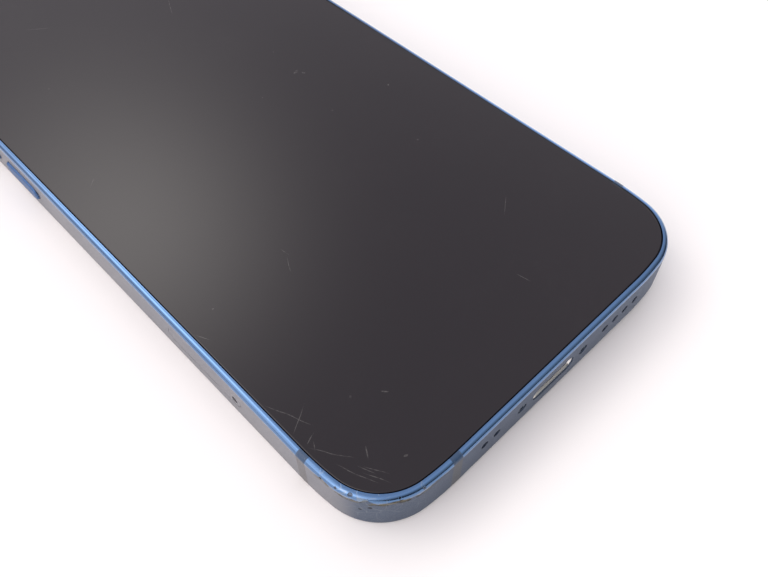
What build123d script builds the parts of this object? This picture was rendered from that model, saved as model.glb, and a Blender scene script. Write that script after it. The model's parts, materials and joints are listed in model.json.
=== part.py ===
from build123d import *
import os
from math import cos, radians, sin

# A flat-sided smartphone, built as separate pieces. All lengths are in millimetres.
# Frame: the origin is the centre of the rear glass's flat outer face, +X points to the phone's right
# with the screen facing the viewer, +Y towards the earpiece end and +Z out of the screen.

# ---------------------------------------------------------------- driving dimensions

BODY_WIDTH = 64.2
BODY_LENGTH = 131.5
BODY_THICKNESS = 7.4

# Each corner of the outline is a long easing arc, a tight arc and a second easing arc, all tangent.
EASING_RADIUS = 44.5
CORNER_RADIUS = 9.3
EASING_ANGLE = 7.2

FRONT_EDGE_RADIUS = 0.76
BACK_EDGE_RADIUS = 0.40
RAIL_WALL = 1.7
FRONT_RIM = 0.88
REAR_RIM = 0.75
GLASS_GAP = 0.10
GLASS_THICKNESS = 0.6
GLASS_EDGE_RADIUS = 0.22
REAR_GLASS_EDGE_RADIUS = 0.2
LEDGE_DROP = 0.9
REAR_LEDGE = 0.7

FIT_GAP = 0.02
SLIDE_GAP = 0.08

# Antenna bands stand this far from the corner, measured along either side.
BAND_FROM_CORNER = 13.45
BAND_WIDTH = 1.6

# Openings of the bottom edge, all on the mid-plane of the thickness.
PORT_WIDTH = 8.4
PORT_HEIGHT = 2.7
PORT_INNER_WIDTH = 7.7
PORT_INNER_HEIGHT = 2.0
PORT_DEPTH = 8.0
PORT_RECESS = 0.20
PORT_LIP_CHAMFER = 0.26
SCREW_X = 6.36
SCREW_HEAD_RADIUS = 0.78
SCREW_HEAD_HEIGHT = 0.6
SCREW_SHANK_RADIUS = 0.5
SCREW_LENGTH = 3.4
SCREW_RECESS = 0.12
HOLE_RADIUS = 0.62
HOLE_PITCH = 2.29
FIRST_HOLE_X = 11.27
LEFT_HOLES = 2
RIGHT_HOLES = 4

# Keys on the long sides.
BUTTON_LENGTH = 9.7
BUTTON_HEIGHT = 2.5
BUTTON_PROUD = 0.4
BUTTON_TRAVEL = 0.25
BUTTON_FLANGE = 0.8
VOLUME_DOWN_Y = 15.9
VOLUME_PITCH = 12.6
SIDE_BUTTON_LENGTH = 17.6
SIDE_BUTTON_Y = 24.0
SWITCH_Y = 41.4
SWITCH_SLOT_LENGTH = 6.0
SWITCH_SLOT_HEIGHT = 2.9
SWITCH_HEIGHT = 1.7
SWITCH_TRAVEL = 1.1
SWITCH_PROUD = 0.3

# SIM tray, ejected through the hole near the lower end of its door.
DOOR_LENGTH = 16.0
DOOR_HEIGHT = 2.5
DOOR_DEPTH = 1.2
DOOR_Y = -32.05
DOOR_GAP = 0.06
EJECT_HOLE_RADIUS = 0.55
EJECT_Y = -38.9
SIM_LENGTH = 12.3
SIM_WIDTH = 8.8
SIM_THICKNESS = 0.67
TRAY_RIM = 0.7
TRAY_THICKNESS = 0.9
TRAY_LOW_Y = -37.6
TRAY_HIGH_Y = -24.9
LEVER_PIVOT = (-15.1, -35.0)
LEVER_REACH = 4.2
LEVER_WIDTH = 0.8
LEVER_PIN_RADIUS = 0.45

# Camera plateau of the rear glass, in the corner that is upper left seen from behind.
PLATEAU_X = 17.0
PLATEAU_Y = 47.6
PLATEAU_WIDTH = 22.0
PLATEAU_LENGTH = 27.0
PLATEAU_RADIUS = 6.0
PLATEAU_HEIGHT = 1.0
PLATEAU_EDGE_RADIUS = 0.35
LENS_X = 20.8
MAIN_LENS_Y = 53.6
WIDE_LENS_Y = 41.6
RING_OUTER_RADIUS = 5.4
RING_INNER_RADIUS = 4.1
RING_PROUD = 0.5
RING_SEAT_DEPTH = 0.3
RING_FLANGE = 0.4
LENS_SEAT_WIDTH = 0.5
FLASH_X = 11.2
FLASH_Y = 52.4
FLASH_RADIUS = 2.2
REAR_MIC_Y = 42.8
REAR_MIC_RADIUS = 0.4

# Heights of the inner layers.
PLATE_LOW = 0.72
PLATE_HIGH = 1.22
INNER_HIGH = 6.0
COIL_X = 0.0
COIL_Y = 0.0
COIL_RADIUS = 20.6
COIL_TURNS = 9
COIL_PITCH = 1.15
MAGNET_RING_RADIUS = 24.4
MAGNET_COUNT = 18
COIL_OPENING_RADIUS = 27.4

MID_Z = BODY_THICKNESS / 2
LEFT = -BODY_WIDTH / 2
RIGHT = BODY_WIDTH / 2
BOTTOM = -BODY_LENGTH / 2
TOP = BODY_LENGTH / 2
FRONT_LEDGE = BODY_THICKNESS - LEDGE_DROP
GLASS_INSET = FRONT_RIM + GLASS_GAP
VOLUME_UP_Y = VOLUME_DOWN_Y + VOLUME_PITCH


# ---------------------------------------------------------------- shared shapes

def block(x_span, y_span, z_span):
    """A box between two limits on each axis."""
    spans = (x_span, y_span, z_span)
    size = [high - low for low, high in spans]
    middle = [(high + low) / 2 for low, high in spans]
    return Pos(*middle) * Box(*size)


def disc(x, y, radius, z_span):
    """A cylinder that stands along Z."""
    low, high = z_span
    return Pos(x, y, (low + high) / 2) * Cylinder(radius, high - low)


def ring(x, y, outer, inner, z_span):
    """A flat ring that stands along Z."""
    return disc(x, y, outer, z_span) - disc(x, y, inner, z_span)


def side_slot(y, z, length, height, x_span):
    """A stadium-shaped bar along X, as wide as length on Y."""
    low, high = x_span
    face = Plane(origin=(low, y, z), x_dir=(0, 1, 0), z_dir=(1, 0, 0)) * SlotOverall(length, height)
    return extrude(face, amount=high - low)


def end_slot(x, z, width, height, y_span):
    """A stadium-shaped bar along Y, as wide as width on X."""
    low, high = y_span
    face = Plane(origin=(x, high, z), x_dir=(1, 0, 0), z_dir=(0, -1, 0)) * SlotOverall(width, height)
    return extrude(face, amount=high - low)


def rod_along_y(x, z, radius, y_span):
    """A round bar along Y."""
    low, high = y_span
    return Pos(x, (low + high) / 2, z) * Rot(90, 0, 0) * Cylinder(radius, high - low)


def rod_along_x(y, z, radius, x_span):
    """A round bar along X."""
    low, high = x_span
    return Pos((low + high) / 2, y, z) * Rot(0, 90, 0) * Cylinder(radius, high - low)


def body_outline(inset):
    """The body's outline as a face, moved inwards by inset."""
    side = BODY_WIDTH / 2 - inset
    end = BODY_LENGTH / 2 - inset
    easing = EASING_RADIUS - inset
    corner = CORNER_RADIUS - inset
    cosine = cos(radians(EASING_ANGLE))
    sine = sin(radians(EASING_ANGLE))
    corner_reach = easing * (1 - cosine) + corner * cosine
    run = easing * (sine + 1 - cosine) + corner * (cosine - sine)
    arcs = (
        (side - easing, end - run, easing, 0, EASING_ANGLE),
        (side - corner_reach, end - corner_reach, corner, EASING_ANGLE, 90 - 2 * EASING_ANGLE),
        (side - run, end - easing, easing, 90 - EASING_ANGLE, EASING_ANGLE),
    )
    edges = []
    for x_sign, y_sign in ((1, 1), (-1, 1), (-1, -1), (1, -1)):
        for x, y, radius, start, sweep_angle in arcs:
            angle = start if x_sign == y_sign else -start - sweep_angle
            if x_sign < 0:
                angle += 180
            edges.append(CenterArc((x_sign * x, y_sign * y), radius, angle, sweep_angle))
    for sign in (1, -1):
        edges.append(Line((sign * side, run - end), (sign * side, end - run)))
        edges.append(Line((run - side, sign * end), (side - run, sign * end)))
    return make_face(edges)


def body_slab(inset, z_span):
    """A plate of the body's outline, moved inwards by inset."""
    low, high = z_span
    return extrude(Pos(0, 0, low) * body_outline(inset), amount=high - low, dir=(0, 0, 1))


def fits_cavity(piece):
    """Trims an inner piece to the rounded corners of the cavity."""
    return piece & body_slab(RAIL_WALL + 0.3, (0, BODY_THICKNESS))


def level_edges(piece, z):
    """The edges of a piece that lie flat at the height z."""
    return piece.edges().filter_by_position(Axis.Z, z - 0.001, z + 0.001)


# ---------------------------------------------------------------- rail and antenna bands

def bottom_cuts():
    """Charging port, screw holes and sound holes of the bottom edge."""
    wall = (BOTTOM - 1, BOTTOM + RAIL_WALL + 1)
    cuts = [end_slot(0, MID_Z, PORT_WIDTH, PORT_HEIGHT, wall)]
    hole_x = [-FIRST_HOLE_X - step * HOLE_PITCH for step in range(LEFT_HOLES)]
    hole_x += [FIRST_HOLE_X + step * HOLE_PITCH for step in range(RIGHT_HOLES)]
    for x in hole_x:
        cuts.append(rod_along_y(x, MID_Z, HOLE_RADIUS, wall))
    seat = BOTTOM + SCREW_RECESS + SCREW_HEAD_HEIGHT + FIT_GAP
    for x in (-SCREW_X, SCREW_X):
        cuts.append(rod_along_y(x, MID_Z, SCREW_HEAD_RADIUS + FIT_GAP, (BOTTOM - 1, seat)))
        cuts.append(rod_along_y(x, MID_Z, SCREW_SHANK_RADIUS + FIT_GAP, wall))
    return cuts


def side_cuts():
    """Openings of the long sides for the keys, the switch and the SIM tray."""
    left_wall = (LEFT - 1, LEFT + RAIL_WALL + 1)
    right_wall = (RIGHT - RAIL_WALL - 1, RIGHT + 1)
    clear = 2 * SLIDE_GAP
    door_clear = 2 * DOOR_GAP
    return [
        side_slot(VOLUME_UP_Y, MID_Z, BUTTON_LENGTH + clear, BUTTON_HEIGHT + clear, left_wall),
        side_slot(VOLUME_DOWN_Y, MID_Z, BUTTON_LENGTH + clear, BUTTON_HEIGHT + clear, left_wall),
        side_slot(SIDE_BUTTON_Y, MID_Z, SIDE_BUTTON_LENGTH + clear, BUTTON_HEIGHT + clear, right_wall),
        side_slot(SWITCH_Y, MID_Z, SWITCH_SLOT_LENGTH, SWITCH_SLOT_HEIGHT, left_wall),
        side_slot(DOOR_Y, MID_Z, DOOR_LENGTH + door_clear, DOOR_HEIGHT + door_clear, left_wall),
    ]


def rail_ring():
    """The whole band round the phone, before it is parted at the antenna bands."""
    whole = body_slab(0, (0, BODY_THICKNESS))
    whole = fillet(level_edges(whole, BODY_THICKNESS), FRONT_EDGE_RADIUS)
    whole = fillet(level_edges(whole, 0), BACK_EDGE_RADIUS)
    whole -= body_slab(FRONT_RIM, (FRONT_LEDGE, BODY_THICKNESS + 1))
    whole -= body_slab(REAR_RIM, (-1, REAR_LEDGE))
    whole -= body_slab(RAIL_WALL, (-1, BODY_THICKNESS + 1))
    for cut in bottom_cuts() + side_cuts():
        whole -= cut
    return whole


def rail_pieces():
    """Six metal lengths of rail and the six moulded bands that part them."""
    whole = rail_ring()
    half_band = BAND_WIDTH / 2
    band_x = BODY_WIDTH / 2 - BAND_FROM_CORNER
    band_y = BODY_LENGTH / 2 - BAND_FROM_CORNER
    beyond_x = BODY_WIDTH / 2 + 1
    beyond_y = BODY_LENGTH / 2 + 1
    inside_x = BODY_WIDTH / 4
    inside_y = BODY_LENGTH / 3
    side_y = (half_band - band_y, band_y - half_band)
    regions = {
        "rail_left": ((-beyond_x, -inside_x), side_y),
        "rail_right": ((inside_x, beyond_x), side_y),
        "rail_lower_left_corner": ((-beyond_x, -band_x - half_band), (-beyond_y, -band_y - half_band)),
        "rail_lower_edge": ((half_band - band_x, beyond_x), (-beyond_y, -band_y - half_band)),
        "rail_upper_right_corner": ((band_x + half_band, beyond_x), (band_y + half_band, beyond_y)),
        "rail_upper_edge": ((-beyond_x, band_x - half_band), (band_y + half_band, beyond_y)),
        "antenna_band_bottom": ((-band_x - half_band, half_band - band_x), (-beyond_y, -inside_y)),
        "antenna_band_top": ((band_x - half_band, band_x + half_band), (inside_y, beyond_y)),
    }
    for side, x_span in (("left", (-beyond_x, -inside_x)), ("right", (inside_x, beyond_x))):
        regions[f"antenna_band_lower_{side}"] = (x_span, (-band_y - half_band, half_band - band_y))
        regions[f"antenna_band_upper_{side}"] = (x_span, (band_y - half_band, band_y + half_band))
    full_height = (-1, BODY_THICKNESS + 1)
    return {name: whole & block(x, y, full_height) for name, (x, y) in regions.items()}


# ---------------------------------------------------------------- screen and rear glass

EARPIECE_Y = TOP - 2.9
EARPIECE_LENGTH = 9.6
EARPIECE_HEIGHT = 0.9
GLASS_LOW = BODY_THICKNESS - GLASS_THICKNESS
PANEL_LOW = GLASS_LOW - 0.5
SHIELD_LOW = PANEL_LOW - 0.2
FRONT_CAMERA = (8.6, 59.9)


def earpiece_slot(extra, z_span):
    """The earpiece opening's shape, wider all round by extra."""
    low, high = z_span
    face = SlotOverall(EARPIECE_LENGTH + 2 * extra, EARPIECE_HEIGHT + 2 * extra)
    return extrude(Pos(0, EARPIECE_Y, low) * face, amount=high - low)


def cover_glass():
    """Front glass with a softened edge and the earpiece slot."""
    glass = body_slab(GLASS_INSET, (GLASS_LOW, BODY_THICKNESS))
    glass = fillet(level_edges(glass, BODY_THICKNESS), GLASS_EDGE_RADIUS)
    return glass - earpiece_slot(0, (GLASS_LOW - 1, BODY_THICKNESS + 1))


def display_pieces():
    """Panel, its seal and the steel shield behind it."""
    seal_width = 0.65
    panel = body_slab(GLASS_INSET + 1.3, (PANEL_LOW, GLASS_LOW))
    panel -= block((-7, 12), (EARPIECE_Y - 5.6, TOP), (0, BODY_THICKNESS))
    shield = body_slab(GLASS_INSET + 1.6, (SHIELD_LOW, PANEL_LOW))
    shield -= block((-8, 13), (EARPIECE_Y - 6.4, TOP), (0, BODY_THICKNESS))
    seal = body_slab(GLASS_INSET, (FRONT_LEDGE, GLASS_LOW))
    seal -= body_slab(GLASS_INSET + seal_width, (0, BODY_THICKNESS))
    return {"display_panel": panel, "display_seal": seal, "display_shield": shield}


def plateau_face():
    """Outline of the camera plateau."""
    return Pos(PLATEAU_X, PLATEAU_Y) * RectangleRounded(PLATEAU_WIDTH, PLATEAU_LENGTH, PLATEAU_RADIUS)


def rear_glass():
    """Rear glass with the camera plateau raised from the same sheet."""
    glass = body_slab(REAR_RIM + GLASS_GAP, (0, REAR_LEDGE))
    glass = fillet(level_edges(glass, 0), REAR_GLASS_EDGE_RADIUS)
    plateau = extrude(Pos(0, 0, -PLATEAU_HEIGHT) * plateau_face(), amount=PLATEAU_HEIGHT + REAR_LEDGE)
    plateau = fillet(level_edges(plateau, -PLATEAU_HEIGHT), PLATEAU_EDGE_RADIUS)
    glass += plateau
    through = (-PLATEAU_HEIGHT - 1, REAR_LEDGE + 1)
    for lens_y in (MAIN_LENS_Y, WIDE_LENS_Y):
        glass -= disc(LENS_X, lens_y, RING_OUTER_RADIUS - RING_FLANGE, through)
        seat = (-PLATEAU_HEIGHT - 1, -PLATEAU_HEIGHT + RING_SEAT_DEPTH)
        glass -= disc(LENS_X, lens_y, RING_OUTER_RADIUS + FIT_GAP, seat)
    glass -= disc(FLASH_X, FLASH_Y, FLASH_RADIUS + FIT_GAP, through)
    glass -= disc(FLASH_X, REAR_MIC_Y, REAR_MIC_RADIUS, through)
    return glass


def chassis_plate():
    """Aluminium plate behind the inner pieces, open for the coil and the cameras."""
    plate = body_slab(RAIL_WALL + FIT_GAP, (PLATE_LOW, PLATE_HIGH))
    through = (0, BODY_THICKNESS)
    plate -= disc(COIL_X, COIL_Y, COIL_OPENING_RADIUS, through)
    camera_hole = extrude(plateau_face(), amount=BODY_THICKNESS)
    plate -= camera_hole
    for x in (-24.0, 24.0):
        plate -= Pos(x, -38.0, MID_Z) * Cylinder(1.6, BODY_THICKNESS)
    return plate


# ---------------------------------------------------------------- rear cameras and flash

RING_LOW = -PLATEAU_HEIGHT - RING_PROUD
COVER_LENS_LOW = RING_LOW + 0.25
COVER_LENS_HIGH = COVER_LENS_LOW + 0.45
MAIN_MODULE_SIZE = 10.4
WIDE_MODULE_SIZE = 8.6
BARREL_RADIUS = 3.3
BARREL_LOW = 0.1
FOCUS_TRAVEL = 0.3


def camera_trim_ring(lens_y):
    """Metal ring with a flange that sits in the plateau and a neck through the glass."""
    flange_high = -PLATEAU_HEIGHT + RING_SEAT_DEPTH
    outside = disc(LENS_X, lens_y, RING_OUTER_RADIUS, (RING_LOW, flange_high))
    outside = fillet(level_edges(outside, RING_LOW), 0.2)
    neck = disc(LENS_X, lens_y, RING_OUTER_RADIUS - RING_FLANGE - FIT_GAP, (flange_high, REAR_LEDGE))
    seat = disc(LENS_X, lens_y, RING_INNER_RADIUS + LENS_SEAT_WIDTH, (RING_LOW - 1, COVER_LENS_HIGH))
    bore = disc(LENS_X, lens_y, RING_INNER_RADIUS, (RING_LOW - 1, REAR_LEDGE + 1))
    return outside + neck - seat - bore


def camera_cover_lens(lens_y):
    """Sapphire disc in the trim ring's seat."""
    radius = RING_INNER_RADIUS + LENS_SEAT_WIDTH - FIT_GAP
    lens = disc(LENS_X, lens_y, radius, (COVER_LENS_LOW, COVER_LENS_HIGH))
    return chamfer(level_edges(lens, COVER_LENS_LOW), 0.08)


def camera_pieces():
    """Two rear camera modules; the main one has a lens barrel that moves to focus."""
    main_half = MAIN_MODULE_SIZE / 2
    wide_half = WIDE_MODULE_SIZE / 2
    module_low = 0.85
    housing = block((LENS_X - main_half, LENS_X + main_half),
                    (MAIN_LENS_Y - main_half, MAIN_LENS_Y + main_half), (module_low, INNER_HIGH - 0.1))
    housing = fillet(housing.edges().filter_by(Axis.Z), 0.6)
    barrel_room = BARREL_RADIUS + SLIDE_GAP
    sensor_floor = 4.6
    housing -= disc(LENS_X, MAIN_LENS_Y, barrel_room, (0, sensor_floor))
    barrel_high = sensor_floor - FOCUS_TRAVEL - 0.15
    barrel = disc(LENS_X, MAIN_LENS_Y, BARREL_RADIUS, (BARREL_LOW, barrel_high))
    barrel = chamfer(level_edges(barrel, BARREL_LOW), 0.3)
    barrel -= disc(LENS_X, MAIN_LENS_Y, 1.9, (BARREL_LOW - 1, BARREL_LOW + 0.7))
    wide = block((LENS_X - wide_half, LENS_X + wide_half),
                 (WIDE_LENS_Y - wide_half, WIDE_LENS_Y + wide_half), (module_low, INNER_HIGH - 0.4))
    wide = fillet(wide.edges().filter_by(Axis.Z), 0.6)
    wide += disc(LENS_X, WIDE_LENS_Y, 3.0, (BARREL_LOW, module_low))
    wide -= disc(LENS_X, WIDE_LENS_Y, 1.4, (BARREL_LOW - 1, BARREL_LOW + 0.5))
    return {"main_camera_housing": housing, "main_camera_lens_barrel": barrel, "ultrawide_camera": wide}


def flash_window():
    """Diffuser disc of the flash, just below the plateau's face."""
    return disc(FLASH_X, FLASH_Y, FLASH_RADIUS, (-PLATEAU_HEIGHT + 0.05, REAR_LEDGE - 0.3))


def flash_led():
    """Two-chip flash on its small board."""
    base = block((FLASH_X - 2.4, FLASH_X + 2.4), (FLASH_Y - 2.4, FLASH_Y + 2.4), (1.3, 1.7))
    for offset in (-0.8, 0.8):
        chip = (FLASH_X + offset - 0.6, FLASH_X + offset + 0.6)
        base += block(chip, (FLASH_Y - 0.9, FLASH_Y + 0.9), (0.6, 1.3))
    return base


# ---------------------------------------------------------------- power, boards and charging

BATTERY_X = (-7.8, 28.9)
BATTERY_Y = (-46.0, 31.0)
BATTERY_Z = (1.35, 5.75)
BOARD_Z = (2.0, 2.6)
BOARD_X = (-28.4, -8.8)
BOARD_Y = (-45.6, 55.0)
BOARD_WING_X = 8.0
BOARD_WING_Y = 33.6
BOARD_SCREWS = ((-26.6, -43.8), (-10.8, -43.8), (-26.6, 10.2), (-10.8, 31.0), (-26.6, 53.0), (6.0, 53.0))


def battery():
    """Pouch cell with a folded top seam and its tab."""
    cell = block(BATTERY_X, BATTERY_Y, BATTERY_Z)
    cell = fillet(cell.edges().filter_by(Axis.Y), 0.9)
    seam_x = (BATTERY_X[0] + 2, BATTERY_X[1] - 2)
    cell += block(seam_x, (BATTERY_Y[1], BATTERY_Y[1] + 1.6), (2.2, 3.4))
    return cell


def main_logic_board():
    """L-shaped board with its fixing holes."""
    board = block(BOARD_X, BOARD_Y, BOARD_Z)
    board += block((BOARD_X[0], BOARD_WING_X), (BOARD_WING_Y, BOARD_Y[1]), BOARD_Z)
    for x, y in BOARD_SCREWS:
        board -= disc(x, y, 0.75, (BOARD_Z[0] - 1, BOARD_Z[1] + 1))
    return board


def board_screws():
    """Identical small screws that hold the logic board to the chassis plate."""
    screws = []
    for x, y in BOARD_SCREWS:
        head = disc(x, y, 1.1, (BOARD_Z[1], BOARD_Z[1] + 0.4))
        shank = disc(x, y, 0.6, (PLATE_HIGH, BOARD_Z[1]))
        cross = block((x - 0.6, x + 0.6), (y - 0.12, y + 0.12), (BOARD_Z[1] + 0.2, BOARD_Z[1] + 1))
        cross += block((x - 0.12, x + 0.12), (y - 0.6, y + 0.6), (BOARD_Z[1] + 0.2, BOARD_Z[1] + 1))
        screws.append(head + shank - cross)
    return screws


def shield_can(x_span, y_span, z_span):
    """Pressed tin can over the chips, with rounded corners and an open underside."""
    wall = 0.15
    can = block(x_span, y_span, z_span)
    can = fillet(can.edges().filter_by(Axis.Z), 0.8)
    inside_x = (x_span[0] + wall, x_span[1] - wall)
    inside_y = (y_span[0] + wall, y_span[1] - wall)
    return can - block(inside_x, inside_y, (z_span[0] - 1, z_span[1] - wall))


def charging_coil():
    """Flat wound ring with the turns' grooves on its rear face."""
    coil = ring(COIL_X, COIL_Y, COIL_RADIUS, COIL_RADIUS - COIL_TURNS * COIL_PITCH, (PLATE_LOW, PLATE_HIGH))
    groove_half = 0.06
    for turn in range(1, COIL_TURNS):
        radius = COIL_RADIUS - turn * COIL_PITCH
        groove_depth = (PLATE_LOW - 1, PLATE_LOW + 0.3)
        coil -= ring(COIL_X, COIL_Y, radius + groove_half, radius - groove_half, groove_depth)
    return coil


def alignment_magnets():
    """Ring of separate block magnets round the coil."""
    magnets = []
    for step in range(MAGNET_COUNT):
        middle = Pos(COIL_X, COIL_Y, (PLATE_LOW + PLATE_HIGH) / 2)
        turned = middle * Rot(0, 0, step * 360 / MAGNET_COUNT)
        magnets.append(turned * Pos(MAGNET_RING_RADIUS, 0, 0) * Box(3.0, 7.6, PLATE_HIGH - PLATE_LOW))
    return magnets


PORT_MOUTH = BOTTOM + PORT_RECESS
PORT_END = BOTTOM + PORT_DEPTH
PORT_OUTER_WIDTH = PORT_WIDTH - 2 * FIT_GAP
PORT_OUTER_HEIGHT = PORT_HEIGHT - 2 * FIT_GAP


def charging_port_shell():
    """Steel shell of the charging socket, with a rounded lip at the mouth."""
    shell = end_slot(0, MID_Z, PORT_OUTER_WIDTH, PORT_OUTER_HEIGHT, (PORT_MOUTH, PORT_END))
    shell -= end_slot(0, MID_Z, PORT_INNER_WIDTH, PORT_INNER_HEIGHT, (PORT_MOUTH - 1, PORT_END - 0.3))
    mouth = shell.faces().sort_by(Axis.Y)[0]
    return chamfer(mouth.inner_wires()[0].edges(), PORT_LIP_CHAMFER)


def charging_port_contacts():
    """Row of spring contacts on the socket's inner rear wall."""
    count = 8
    pitch = 0.8
    contacts = []
    for step in range(count):
        x = (step - (count - 1) / 2) * pitch
        z = MID_Z - PORT_INNER_HEIGHT / 2
        strip = block((x - 0.2, x + 0.2), (PORT_END - 5.0, PORT_END - 1.2), (z, z + 0.2))
        contacts.append(strip)
    return contacts


def charging_port_housing():
    """Moulded block round the socket's shell, behind the rail."""
    low = BOTTOM + RAIL_WALL + 0.1
    housing = block((-5.1, 5.1), (low, PORT_END + 1.6), (1.5, 5.6))
    housing = fillet(housing.edges().filter_by(Axis.Y), 0.5)
    room = end_slot(0, MID_Z, PORT_OUTER_WIDTH + 2 * FIT_GAP, PORT_OUTER_HEIGHT + 2 * FIT_GAP,
                    (low - 1, PORT_END + FIT_GAP))
    return housing - room


def charging_flex():
    """Printed ribbon from the charging socket to the logic board."""
    thickness = (1.35, 1.6)
    return block((-20.0, 6.0), (-54.6, -47.0), thickness) + block((-20.0, -14.0), (-47.0, -40.0), thickness)


# ---------------------------------------------------------------- sound and vibration

SPEAKER_X = (8.2, 29.6)
SPEAKER_Y = (-63.4, -48.4)
SPEAKER_Z = (1.45, 5.9)
SPEAKER_WALL = 0.7
CONE_X = (13.0, 25.4)
CONE_Y = (-60.2, -51.0)
CONE_Z = (3.6, 4.0)
CONE_TRAVEL = 0.3
CONE_MARGIN = 1.4
CHAMBER_X = (CONE_X[0] - CONE_MARGIN, CONE_X[1] + CONE_MARGIN)
CHAMBER_Y = (CONE_Y[0] - CONE_MARGIN, CONE_Y[1] + CONE_MARGIN)


def loudspeaker_enclosure():
    """Sealed box of the loudspeaker with a sound duct to the right-hand holes."""
    box = fits_cavity(block(SPEAKER_X, SPEAKER_Y, SPEAKER_Z))
    box -= block(CHAMBER_X, CHAMBER_Y, (SPEAKER_Z[0] + SPEAKER_WALL, SPEAKER_Z[1] - SPEAKER_WALL))
    duct_x = (FIRST_HOLE_X - 0.9, FIRST_HOLE_X + (RIGHT_HOLES - 1) * HOLE_PITCH + 0.9)
    return box - block(duct_x, (SPEAKER_Y[0] - 1, CONE_Y[0]), (MID_Z - 0.9, MID_Z + 0.9))


def loudspeaker_magnet():
    """Magnet and yoke under the diaphragm, with a ring gap for the voice coil."""
    low = SPEAKER_Z[0] + SPEAKER_WALL
    x = sum(CONE_X) / 2
    y = sum(CONE_Y) / 2
    return disc(x, y, 3.9, (low, low + 0.3)) + disc(x, y, 2.4, (low + 0.3, CONE_Z[0] - CONE_TRAVEL - 0.1))


def loudspeaker_diaphragm():
    """Diaphragm with its voice coil."""
    x = sum(CONE_X) / 2
    y = sum(CONE_Y) / 2
    plate = block(CONE_X, CONE_Y, CONE_Z)
    plate = fillet(plate.edges().filter_by(Axis.Z), 2.0)
    coil_low = SPEAKER_Z[0] + SPEAKER_WALL + 0.3 + CONE_TRAVEL + 0.1
    return plate + ring(x, y, 3.1, 2.65, (coil_low, CONE_Z[0]))


HAPTIC_X = (-27.4, -8.4)
HAPTIC_Y = (-59.6, -50.2)
HAPTIC_Z = (1.7, 5.6)
HAPTIC_WALL = 0.3
HAPTIC_TRAVEL = 0.4


def haptic_motor_case():
    """Pressed steel case of the vibration actuator."""
    case = block(HAPTIC_X, HAPTIC_Y, HAPTIC_Z)
    case = fillet(case.edges().filter_by(Axis.Z), 0.8)
    inner = [(low + HAPTIC_WALL, high - HAPTIC_WALL) for low, high in (HAPTIC_X, HAPTIC_Y, HAPTIC_Z)]
    return case - block(*inner)


def haptic_motor_mass():
    """Tungsten mass that shakes along X inside the case."""
    end_room = HAPTIC_WALL + HAPTIC_TRAVEL + 1.0
    x_span = (HAPTIC_X[0] + end_room, HAPTIC_X[1] - end_room)
    y_span = (HAPTIC_Y[0] + HAPTIC_WALL + 0.2, HAPTIC_Y[1] - HAPTIC_WALL - 0.2)
    z_span = (HAPTIC_Z[0] + HAPTIC_WALL + 0.2, HAPTIC_Z[1] - HAPTIC_WALL - 0.2)
    mass = block(x_span, y_span, z_span)
    return chamfer(mass.edges().filter_by(Axis.Y), 0.4)


def haptic_motor_springs():
    """Two leaf springs between the case's ends and the mass."""
    leaves = []
    y_span = (HAPTIC_Y[0] + HAPTIC_WALL + 0.3, HAPTIC_Y[1] - HAPTIC_WALL - 0.3)
    z_span = (HAPTIC_Z[0] + HAPTIC_WALL + 0.4, HAPTIC_Z[1] - HAPTIC_WALL - 0.4)
    for wall_x, inward in ((HAPTIC_X[0] + HAPTIC_WALL, 1), (HAPTIC_X[1] - HAPTIC_WALL, -1)):
        far_x = wall_x + inward * 0.5
        leaf = block((min(wall_x, far_x), max(wall_x, far_x)), y_span, z_span)
        inner_y = (y_span[0] + 1.0, y_span[1] - 0.15)
        near_x = wall_x + inward * 0.15
        slot_x = wall_x + inward * 0.35
        leaf -= block((min(near_x, slot_x), max(near_x, slot_x)), inner_y, (0, BODY_THICKNESS))
        leaves.append(leaf)
    return leaves


def bottom_microphone():
    """Microphone behind the left-hand holes."""
    x = -FIRST_HOLE_X - HOLE_PITCH / 2
    back = BOTTOM + RAIL_WALL + 0.35
    return block((x - 2.1, x + 2.1), (back, back + 1.6), (MID_Z - 1.3, MID_Z + 1.3))


def acoustic_meshes():
    """Woven screens on the rail's inner wall, one behind each row of sound holes."""
    low = BOTTOM + RAIL_WALL + FIT_GAP
    meshes = []
    for count, sign in ((LEFT_HOLES, -1), (RIGHT_HOLES, 1)):
        middle = sign * (FIRST_HOLE_X + (count - 1) * HOLE_PITCH / 2)
        width = (count - 1) * HOLE_PITCH + 2.0
        meshes.append(end_slot(middle, MID_Z, width, 1.8, (low, low + 0.15)))
    return meshes


def earpiece_mesh():
    """Fine woven screen that fills the earpiece slot, just below the glass."""
    return earpiece_slot(-FIT_GAP, (GLASS_LOW, BODY_THICKNESS - 0.12))


def earpiece_speaker():
    """Small speaker under the earpiece slot."""
    body = block((-6.2, 6.2), (EARPIECE_Y - 4.0, EARPIECE_Y + 1.0), (3.4, 6.2))
    body = fillet(body.edges().filter_by(Axis.Z), 0.5)
    return body + earpiece_slot(0.2, (6.2, GLASS_LOW))


def front_camera():
    """Front camera module that looks through the cover glass."""
    x, y = FRONT_CAMERA
    body = block((x - 2.2, x + 2.2), (y - 2.4, y + 2.4), (2.9, 6.1))
    body += disc(x, y, 1.7, (6.1, GLASS_LOW))
    return body - disc(x, y, 0.8, (GLASS_LOW - 0.3, BODY_THICKNESS))


# ---------------------------------------------------------------- keys and switch

KEY_BACK = RAIL_WALL + 0.55
DOME_GAP = BUTTON_TRAVEL + 0.05


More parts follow.
